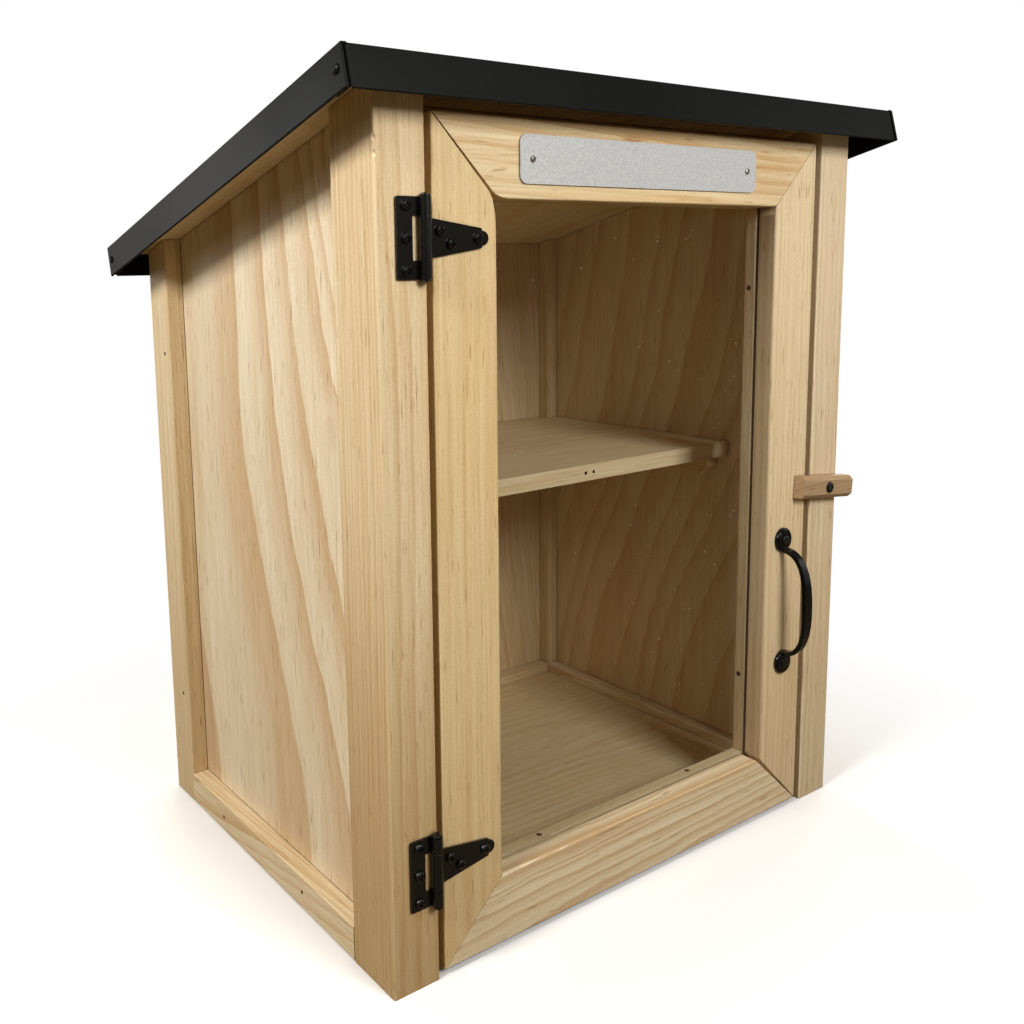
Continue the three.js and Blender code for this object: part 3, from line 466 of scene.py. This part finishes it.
# Small screws' metal
METALS = {  # its shade, and its shade where it is worn
    "pewter": (colour(120, 118, 114), colour(172, 170, 166)),
    "bronze": (colour(92, 66, 44), colour(140, 104, 70)),
}
METAL_MOTTLE = (900.0, 3.0, 0.6)  # scale, detail, roughness
METAL_TONE = (0.35, 0.65, 0.0, 1.0)  # noise from and to, and the wear there
METAL_ROUGHNESS = (0.3, 0.7, 0.28, 0.42)
METAL_METALLIC = 0.7
METAL_BUMP = (0.04 * MM, 0.3)  # depth, strength


def bare_metal(name):
    """A small screw's metal: mottled, a little shiny."""
    graph = material_graph(name)
    mottle = graph.noise(graph.place(), *METAL_MOTTLE)
    return graph.finish(graph.skin(
        Base_Color=graph.blend(graph.remap(mottle, *METAL_TONE), *METALS[name]),
        Metallic=METAL_METALLIC,
        Roughness=graph.remap(mottle, *METAL_ROUGHNESS),
        Normal=graph.bump(mottle, *METAL_BUMP),
    ))


# Pane
DUST_SCALE = 210.0
DUST_CHANCE = (60.0, 2.0)  # scale, detail
DUST_SIZE = (0.5, 0.72, 0.0, 0.11)  # chance from and to, and a speck's size there
DUST_COVER = 0.4
DUST_SHADE = colour(235, 234, 228)
FILM_NOISE = (11.0, 3.0)  # scale, detail
FILM_COVER = (0.35, 0.75, 0.004, 0.022)  # noise from and to, and the film's cover there
MIRROR_POWER = 5.0
MIRROR_EDGE = 0.6
MIRROR_LEAST = 0.025
PANE_THROUGH = colour(253, 254, 254)
PANE_SHADE = colour(60, 62, 63)
PANE_ROUGHNESS = (0.05, 0.6)  # clean, dusty


def clear():
    """Clear acrylic: lets the light through, mirrors a little, with fine dust on it."""
    graph = material_graph("clear")
    place = graph.place()
    speck = graph.node("ShaderNodeTexVoronoi", {"Vector": place, "Scale": DUST_SCALE}).outputs["Distance"]
    chance = graph.noise(place, *DUST_CHANCE)
    dust = graph.math("LESS_THAN", speck, graph.remap(chance, *DUST_SIZE))
    film = graph.remap(graph.noise(place, *FILM_NOISE), *FILM_COVER)
    slant = graph.node("ShaderNodeLayerWeight").outputs["Facing"]
    edge = graph.math("MULTIPLY", graph.math("POWER", slant, MIRROR_POWER), MIRROR_EDGE)
    mirror = graph.math("ADD", edge, MIRROR_LEAST)
    cover = graph.math("ADD", mirror, film, clamp=True)
    cover = graph.math("MAXIMUM", cover, graph.math("MULTIPLY", dust, DUST_COVER))
    through = graph.node("ShaderNodeBsdfTransparent", {"Color": PANE_THROUGH}).outputs[0]
    skin = graph.skin(
        Base_Color=graph.blend(dust, PANE_SHADE, DUST_SHADE),
        Roughness=graph.remap(dust, 0.0, 1.0, *PANE_ROUGHNESS),
    )
    return graph.finish(graph.mix(cover, through, skin))


BOARDS = {
    "front_left_post": {
        "pith": (-0.42, 0.30), "ring": 5.2 * MM, "contrast": 1.0, "foot": 1.0, "seed": 1.0,
    },
    "front_right_post": {
        "pith": (0.48, 0.30), "ring": 4.0 * MM, "contrast": 0.6, "seed": 2.0,
        "pale": colour(237, 219, 187), "late": colour(210, 182, 140),
    },
    "rear_left_post": {
        "grain": "side upright", "pith": (0.46, 0.10), "ring": 6.0 * MM, "contrast": 0.5, "seed": 3.0,
    },
    "rear_right_post": {
        "grain": "side upright", "pith": (0.46, -0.10), "ring": 6.0 * MM, "contrast": 0.5, "seed": 4.0,
    },
    "left_rail": {
        "grain": "side level", "pith": (0.06, -0.16), "lean": (0.10, 0.04), "ring": 6.0 * MM,
        "wander": 4 * MM, "wobble": 0.9 * MM, "contrast": 0.9, "resin": 0.5, "foot": 0.0, "seed": 5.0,
        "pale": colour(251, 237, 205), "late": colour(226, 191, 140),
    },
    "right_rail": {
        "grain": "side level", "pith": (0.06, 0.16), "lean": (0.10, -0.04), "ring": 6.0 * MM,
        "wander": 4 * MM, "wobble": 0.9 * MM, "contrast": 0.75, "resin": 0.3, "foot": 0.0, "seed": 6.0,
        "pale": colour(250, 237, 209), "late": colour(226, 194, 148),
    },
    "rear_rail": {"grain": "front level", "pith": (0.06, 0.24), "lean": (0.08, 0.02), "seed": 7.0},
    "front_sill": {"grain": "front level", "pith": (0.06, -0.05), "lean": (0.08, 0.02), "seed": 8.0},
    "head_rail": {"grain": "front level", "pith": (0.70, -0.05), "seed": 9.0},
    "left_panel": {
        "grain": "side upright", "pith": (0.041, 0.0), "slump": (0.093, 0.03, 0.39),
        "years": (-0.400, -0.165, 0.0, 0.066, 0.120, 0.170, 0.195, 0.222, 0.250),
        "squeeze": (0.34, 0.57, -1.0, -1.5),
        "uneven": 0.0, "wander": 4 * MM, "wobble": 2.6 * MM, "contrast": 1.0,
        "inner": 0.15, "resin": 0.1, "fade": 0.8, "foot": 0.1, "seed": 10.0,
        "pale": colour(249, 237, 210), "late": colour(218, 184, 139),
        "knots": (
            Knot(-0.102, 0.380, 20 * MM, 20 * MM, 0.25), Knot(0.125, 0.520, 10 * MM, 5 * MM, 0.3),
            Knot(0.131, 0.228, 6 * MM, 4 * MM, 0.4), Knot(0.126, 0.217, 6 * MM, 4 * MM, 0.4),
        ),
    },
    "right_panel": {
        "grain": "side upright", "pith": (-0.30, 0.20), "lean": (0.20, 0.0), "slump": (-0.06, 0.05, 0.40),
        "ring": 34 * MM, "uneven": 0.9, "wander": 8 * MM, "wobble": 2.2 * MM, "contrast": 0.7,
        "inner": 0.16, "resin": 0.1, "fade": 0.8, "seed": 11.0,
        "pale": colour(245, 229, 198), "late": colour(217, 181, 135),
    },
    "back_panel": {
        "pith": (0.05, 0.14), "lean": (0.12, 0.04), "ring": 7.0 * MM,
        "uneven": 1.4, "wander": 10 * MM, "wobble": 1.5 * MM, "contrast": 0.8, "seed": 12.0,
    },
    "floor_board": {
        "grain": "flat", "pith": (0.02, -0.06), "lean": (0.05, 0.02), "ring": 6.0 * MM,
        "wander": 6 * MM, "contrast": 0.6, "seed": 13.0,
    },
    "shelf": {"grain": "flat", "pith": (0.05, 0.25), "lean": (0.05, 0.02), "resin": 0.3, "seed": 14.0},
    "left_cleat": {"grain": "side level", "pith": (0.28, -0.15), "seed": 15.0},
    "right_cleat": {"grain": "side level", "pith": (0.28, 0.15), "seed": 16.0},
    "roof_deck": {
        "grain": "flat deep", "pith": (0.02, 0.50), "lean": (0.05, 0.02), "ring": 6.0 * MM,
        "wander": 6 * MM, "contrast": 0.6, "resin": 0.5, "seed": 17.0,
        "pale": colour(250, 238, 206), "late": colour(226, 194, 148),
    },
    "left_stile": {
        "pith": (-0.48, 0.20), "ring": 6.5 * MM, "contrast": 0.4, "wander": 3 * MM, "seed": 18.0,
        "pale": colour(237, 214, 166), "late": colour(214, 180, 126),
    },
    "right_stile": {
        # painted shade on the inner lip, which lies in shadow
        "pith": (0.50, 0.15), "ring": 4.2 * MM, "contrast": 0.7, "shade": (0.1467, 0.1487),
        "painted_seam_shade": 0.6, "seed": 19.0,
        "pale": colour(240, 221, 184), "late": colour(212, 180, 132),
    },
    "top_rail": {
        "grain": "front level", "pith": (0.76, -0.08), "lean": (0.04, 0.03), "ring": 9.0 * MM,
        "wander": 3 * MM, "wobble": 0.7 * MM, "contrast": 0.9, "resin": 0.9, "seed": 20.0,
        "knots": (
            Knot(0.577, -0.022, 11 * MM, 3 * MM, 0.4), Knot(0.556, 0.135, 60 * MM, 2 * MM, 0.34),
        ),
        "pale": colour(248, 231, 192), "late": colour(218, 180, 126),
    },
    "bottom_rail": {
        "grain": "front level", "pith": (-0.012, -0.132), "lean": (0.02, 0.03), "ring": 5.0 * MM,
        "wander": 3 * MM, "wobble": 0.9 * MM, "contrast": 0.9, "resin": 0.3, "foot": 0.0, "seed": 21.0,
        "pale": colour(249, 236, 206), "late": colour(212, 179, 131),
    },
    "left_stop": {"pith": (-0.3, 0.0), "painted_seam_shade": 0.3, "seed": 22.0},
    "right_stop": {"pith": (0.3, 0.0), "painted_seam_shade": 0.3, "seed": 23.0},
    "top_stop": {"grain": "front level", "pith": (0.8, 0.0), "painted_seam_shade": 0.3, "seed": 24.0},
    "bottom_stop": {"grain": "front level", "pith": (-0.2, 0.0), "painted_seam_shade": 0.3, "seed": 25.0},
    "turn_button": {
        "grain": "front level", "pith": (0.10, -0.3), "ring": 3.0 * MM, "contrast": 0.6, "seed": 26.0,
        "pale": colour(188, 161, 126), "late": colour(138, 110, 82), "resin": 0.0, "foot": 0.0,
    },
}

# Pieces. Those in PLAIN_PIECES are shown as the CAD nodes are, the others as eased copies
PLAIN_PIECES = ("left_panel", "right_panel", "back_panel", "floor_board", "window_pane")
BOARD_EASING = 0.45 * MM
FITTING_EASING = 0.2 * MM
PLATE_EASING = 0.15 * MM
EASINGS = {
    "roof_tray": 0.0, "window_pane": 0.0,
    "nameplate": PLATE_EASING, "plate_screw_1": PLATE_EASING, "plate_screw_2": PLATE_EASING,
}
EASING_SEGMENTS = 2
ARRIS_ANGLE = math.radians(28)  # edges that turn by more are arrises
SAME_PLACE = 0.005 * MM  # a CAD mesh's points that are closer are one point
SAME_PLANE = math.radians(0.5)  # its faces that turn by less are one face
WELD_REACH = 0.002 * MM  # points that easing brings closer are one point

# Nail holes, countersunk holes and dents
HOLE_SEGMENTS = 20
HOLE_LIFT = 0.3 * MM  # how far a cutter stands out of the face
NAIL = (1.5 * MM, 1.5 * MM, 6.0 * MM)  # radius at the face and at the foot, depth
SINK = (2.4 * MM, 1.2 * MM, 1.6 * MM)  # the same of a countersunk hole
RAIL_NAILS = ((0.0817, 0.013), (-0.059, 0.014))  # y, z
POST_NAILS = ((0.1594, 0.4217), (0.1600, 0.1025))  # y, z
SHELF_NAILS = (-0.0905, 0.0300, 0.0395)  # x
STOP_SCREW_HEIGHTS = (0.468, 0.128)  # in the upright stops
STOP_SCREW_ASIDES = (-0.0918, 0.0795)  # x, in the level stops
STOP_SCREW_Y = -0.1615
POST_DENTS = (0.5671, 0.5578)  # z
DENT_RADIUS = 3.2 * MM
DENT_OFF = 0.36  # how far a dent's middle lies off the post's arris, as a share of its radius
DENT_SUBDIVISIONS = 3

# Countersunk screw heads in the stops
STOPS = ("left_stop", "right_stop", "top_stop", "bottom_stop")
STOP_HEAD_STEPS = 20
STOP_HEAD = (  # radius and depth of each ring, from the recess outwards and round the rim to the foot
    (0.35 * MM, 1.25 * MM), (0.6 * MM, 0.8 * MM), (0.75 * MM, 0.62 * MM), (1.5 * MM, 0.55 * MM),
    (1.85 * MM, 0.68 * MM), (1.75 * MM, 0.85 * MM), (0.9 * MM, 2.2 * MM),
)
STOP_HEAD_ANGLE = math.radians(35)


def placed(name, data):
    """A new object in the scene."""
    made = bpy.data.objects.new(name, data)
    bpy.context.scene.collection.objects.link(made)
    return made


def smooth(mesh, angle):
    """Shades a mesh smooth except at edges that turn by more than the angle."""
    mesh.polygons.foreach_set("use_smooth", [True] * len(mesh.polygons))
    mesh.set_sharp_from_angle(angle=angle)


def sides(node):
    """The two far corners of a CAD node's box."""
    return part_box(node)


def body_of(node):
    return next(name for name, members in frame["record"]["behaviour"]["bodies"].items() if node in members)


def all_holes():
    """For each bored piece: place, way in, radius at the face and at the foot, and depth of its holes."""
    low, _ = sides("left_rail")
    found = {"left_rail": [((low[0], y, z), (1, 0, 0), *NAIL) for y, z in RAIL_NAILS]}
    found["right_rail"] = [((-low[0], y, z), (-1, 0, 0), *NAIL) for y, z in RAIL_NAILS]
    found["rear_left_post"] = [((low[0], y, z), (1, 0, 0), *NAIL) for y, z in POST_NAILS]
    found["rear_right_post"] = [((-low[0], y, z), (-1, 0, 0), *NAIL) for y, z in POST_NAILS]
    low, high = sides("shelf")
    middle = (low[2] + high[2]) / 2
    found["shelf"] = [((x, low[1], middle), (0, 1, 0), *NAIL) for x in SHELF_NAILS]
    upright = {
        "left_stop": (sides("left_stop")[1][0], (-1, 0, 0)),
        "right_stop": (sides("right_stop")[0][0], (1, 0, 0)),
    }
    for node, (x, way) in upright.items():
        found[node] = [((x, STOP_SCREW_Y, z), way, *SINK) for z in STOP_SCREW_HEIGHTS]
    level = {
        "bottom_stop": (sides("bottom_stop")[1][2], (0, 0, -1)),
        "top_stop": (sides("top_stop")[0][2], (0, 0, 1)),
    }
    for node, (z, way) in level.items():
        found[node] = [((x, STOP_SCREW_Y, z), way, *SINK) for x in STOP_SCREW_ASIDES]
    return found


def post_dents():
    low, _ = sides("front_left_post")
    off = DENT_RADIUS * DENT_OFF
    return [(low[0] - off, low[1] - off, z) for z in POST_DENTS]


def aimed(place, way):
    """A matrix that puts a shape's own +Z along the given way, at the place."""
    turn = Vector((0.0, 0.0, 1.0)).rotation_difference(Vector(way)).to_matrix().to_4x4()
    return Matrix.Translation(place) @ turn


def cutter_mesh(bores, dents):
    """What a piece's holes and dents are cut with."""
    shape = bmesh.new()
    for place, way, wide, narrow, depth in bores:
        middle = Matrix.Translation((0.0, 0.0, (depth - HOLE_LIFT) / 2))
        bmesh.ops.create_cone(
            shape, cap_ends=True, segments=HOLE_SEGMENTS, radius1=wide, radius2=narrow,
            depth=depth + HOLE_LIFT, matrix=aimed(place, way) @ middle,
        )
    for place in dents:
        bmesh.ops.create_icosphere(
            shape, subdivisions=DENT_SUBDIVISIONS, radius=DENT_RADIUS, matrix=Matrix.Translation(place),
        )
    mesh = bpy.data.meshes.new("cutter")
    shape.to_mesh(mesh)
    shape.free()
    # the holes' insides get the painted shade
    if bores:
        mesh.materials.append(bpy.data.materials[PAINTED_HOLE_SHADE])
    return mesh


def bore(piece, bores, dents):
    """Cuts small round holes, with painted shade inside, and dents into a piece."""
    tool = placed("cutter", cutter_mesh(bores, dents))
    cut = piece.modifiers.new("holes", "BOOLEAN")
    cut.object = tool
    cut.solver = "EXACT"
    cut.material_mode = "TRANSFER"
    bpy.context.view_layer.update()
    ready = piece.evaluated_get(bpy.context.evaluated_depsgraph_get())
    piece.data = bpy.data.meshes.new_from_object(ready)
    piece.modifiers.clear()
    bpy.data.objects.remove(tool)


def wear(piece, material):
    """Gives a piece its material; the painted shade that its holes were cut with stays."""
    slots = piece.data.materials
    for index, worn in enumerate(slots):
        if worn is None or worn.name != PAINTED_HOLE_SHADE:
            slots[index] = material


def cleaned(node):
    """A copy of a CAD node's mesh without the triangles that split its flat faces."""
    mesh = nodes[node].data.copy()
    mesh.name = f"{node}_dressed"
    shape = bmesh.new()
    shape.from_mesh(mesh)
    bmesh.ops.remove_doubles(shape, verts=shape.verts, dist=SAME_PLACE)
    bmesh.ops.dissolve_limit(shape, angle_limit=SAME_PLANE, verts=shape.verts, edges=shape.edges)
    shape.to_mesh(mesh)
    shape.free()
    return mesh


def ease(piece, easing):
    """Rounds a piece's arrises, where it has an easing, and keeps its flat faces flat."""
    if easing:
        bevel = piece.modifiers.new("easing", "BEVEL")
        bevel.width = easing
        bevel.segments = EASING_SEGMENTS
        bevel.limit_method = "ANGLE"
        bevel.angle_limit = ARRIS_ANGLE
        bevel.use_clamp_overlap = True
        weld = piece.modifiers.new("weld", "WELD")
        weld.merge_threshold = WELD_REACH
    weighted = piece.modifiers.new("weighted", "WEIGHTED_NORMAL")
    weighted.keep_sharp = not easing


def dressed(node, easing, bores, dents):
    """A copy of a CAD node with eased arrises and smooth curves, shown in the node's place."""
    mesh = cleaned(node)
    piece = placed(mesh.name, mesh)
    if bores or dents:
        bore(piece, bores, dents)
    smooth(piece.data, ARRIS_ANGLE)
    ease(piece, easing)
    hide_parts(node)
    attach(piece, body_of(node))
    return piece


def dress(holes):
    """Gives every CAD node, or the copy shown in its place, its material."""
    # the painted shade inside holes
    painted(PAINTED_HOLE_SHADE)
    roof = painted("roof_coat")
    black = painted("black_paint")
    gloss = painted("gloss_paint")
    pewter = bare_metal("pewter")
    special = {
        "roof_tray": roof, "nameplate": silver(), "window_pane": clear(),
        "plate_screw_1": pewter, "plate_screw_2": pewter, "pull_handle": gloss,
    }
    dents = {"front_left_post": post_dents()}
    for node in nodes:
        if node in BOARDS:
            material = wood(f"wood_{node}", **BOARDS[node])
            easing = BOARD_EASING
        else:
            material = special.get(node, roof if node.endswith("rivet") else black)
            easing = EASINGS.get(node, FITTING_EASING)
        if node in PLAIN_PIECES:
            piece = nodes[node]
        else:
            piece = dressed(node, easing, holes.get(node, ()), dents.get(node, ()))
        wear(piece, material)


def stop_head_mesh(name, seat):
    """A round countersunk head with a recess, its rings joined from the recess to its foot."""
    shape = bmesh.new()
    rings = []
    for radius, depth in STOP_HEAD:
        ring = []
        for step in range(STOP_HEAD_STEPS):
            angle = 2.0 * math.pi * step / STOP_HEAD_STEPS
            point = Vector((radius * math.cos(angle), radius * math.sin(angle), depth))
            ring.append(shape.verts.new(seat @ point))
        rings.append(ring)
    for inner, outer in zip(rings, rings[1:]):
        for step in range(STOP_HEAD_STEPS):
            after = (step + 1) % STOP_HEAD_STEPS
            shape.faces.new((inner[step], inner[after], outer[after], outer[step]))
    shape.faces.new(rings[0])
    shape.faces.new(rings[-1])
    bmesh.ops.recalc_face_normals(shape, faces=shape.faces)
    mesh = bpy.data.meshes.new(name)
    shape.to_mesh(mesh)
    shape.free()
    return mesh


def stop_screw(name, place, way, material):
    """A screw head sunk into a stop's bore."""
    mesh = stop_head_mesh(name, aimed(place, way))
    mesh.materials.append(material)
    smooth(mesh, STOP_HEAD_ANGLE)
    piece = placed(name, mesh)
    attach(piece, "door")


def stop_screws(holes):
    bronze = bare_metal("bronze")
    for node in STOPS:
        for index, (place, way, *_) in enumerate(holes[node]):
            stop_screw(f"{node}_screw_{index + 1}", place, way, bronze)


def camera():
    data = bpy.data.cameras.new("camera")
    data.sensor_width = CAMERA_SENSOR
    data.lens = CAMERA_LENS
    data.shift_x, data.shift_y = CAMERA_SHIFT
    data.clip_start = CAMERA_CLIP
    made = placed("camera", data)
    turn = Matrix((CAMERA_RIGHT, CAMERA_UP, CAMERA_BACK)).transposed().to_4x4()
    made.matrix_world = Matrix.Translation(CAMERA_PLACE) @ turn
    bpy.context.scene.camera = made


def lamps():
    for name, lamp in LAMPS.items():
        data = bpy.data.lights.new(name, "AREA")
        data.energy = lamp["power"]
        data.shape = "RECTANGLE"
        data.size, data.size_y = lamp["size"]
        data.color = lamp.get("tint", PLAIN_LIGHT)
        made = placed(name, data)
        made.location = lamp["place"]
        aim = Vector(LAMP_TARGET) - made.location
        made.rotation_euler = aim.to_track_quat("-Z", "Y").to_euler()


def world():
    """White where the camera sees it, a dim warm room for all other light."""
    made = bpy.data.worlds.new("world")
    bpy.context.scene.world = made
    graph = Graph(made)
    room = graph.node("ShaderNodeBackground", {"Color": WORLD_TINT, "Strength": WORLD_LEVEL}).outputs[0]
    white = graph.node("ShaderNodeBackground", {"Color": WHITE}).outputs[0]
    graph.finish(graph.mix(graph.camera_ray(), room, white), "ShaderNodeOutputWorld")


def floor():
    """A pale floor that keeps the box's shadow and turns to the background's white around it."""
    mesh = bpy.data.meshes.new("floor")
    reach = FLOOR_REACH
    corners = [(-reach, -reach, 0.0), (reach, -reach, 0.0), (reach, reach, 0.0), (-reach, reach, 0.0)]
    mesh.from_pydata(corners, [], [(0, 1, 2, 3)])
    made = placed("floor", mesh)
    graph = material_graph("floor")
    seen = graph.camera_ray()
    tone = graph.blend(seen, FLOOR_LIT, WHITE)
    lit = graph.skin(Base_Color=tone, Roughness=FLOOR_ROUGHNESS, Specular_IOR_Level=0.0)
    white = graph.node("ShaderNodeEmission", {"Strength": 1.0}).outputs[0]
    distance = graph.vector("LENGTH", graph.place())
    away = graph.remap(distance, *SHADOW_REACH, smooth=True)
    mesh.materials.append(graph.finish(graph.mix(graph.math("MULTIPLY", away, seen), lit, white)))


bored = all_holes()
dress(bored)
stop_screws(bored)
camera()
lamps()
world()
floor()
bpy.context.scene.view_settings.view_transform = "Standard"
